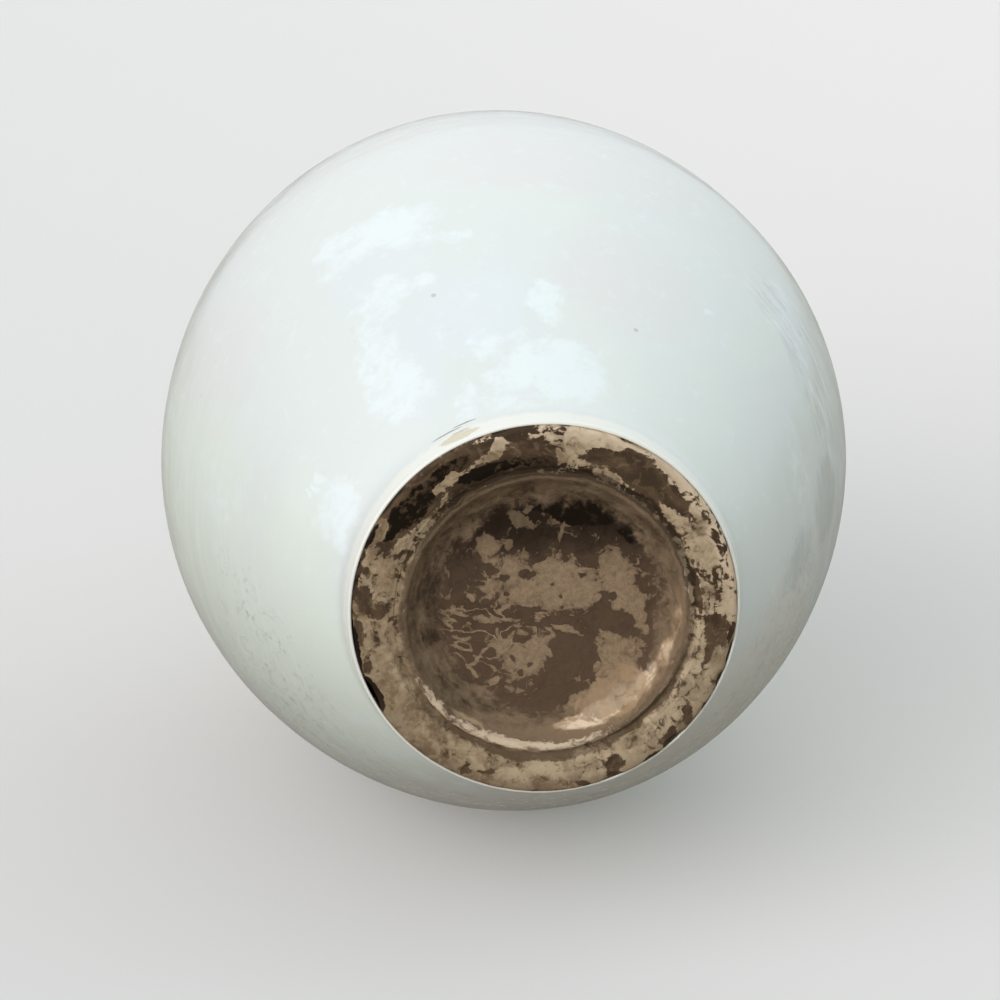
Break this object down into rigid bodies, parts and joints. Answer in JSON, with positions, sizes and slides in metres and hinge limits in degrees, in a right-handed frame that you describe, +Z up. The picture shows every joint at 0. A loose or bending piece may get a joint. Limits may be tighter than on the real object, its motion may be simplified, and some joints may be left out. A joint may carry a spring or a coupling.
{
  "type": "bottle vase",
  "caption": "Egg-shaped stoneware bottle vase on a bare clay ring foot, with a flared neck, coated inside and out with a pale glossy glaze.",
  "frame": {"origin": "centre of the foot ring, on the plane that the vase stands on", "axes": "+Z up the axis of the vase, from the foot to the mouth; the vase is round, so +X and +Y are any two directions square to it"},
  "size_m": [0.184, 0.184, 0.33],
  "materials": {
    "foot_clay": "bare fired clay, stained brown, with dry buff wash",
    "body_clay": "fired stoneware under the glaze",
    "joint_slip": "fired slip",
    "pale_glaze": "glossy, pale blue-green white",
    "lining_glaze": "thin glossy lining"
  },
  "bodies": {
    "root": {"foot_ring": "foot_clay", "foot_slip": "joint_slip", "base_disc": "foot_clay", "lower_body": "body_clay", "belly_slip": "joint_slip", "upper_body": "body_clay", "neck_slip": "joint_slip", "neck": "body_clay", "mouth_rim": "body_clay", "outer_glaze": "pale_glaze", "inner_glaze": "lining_glaze"}
  },
  "joints": []
}
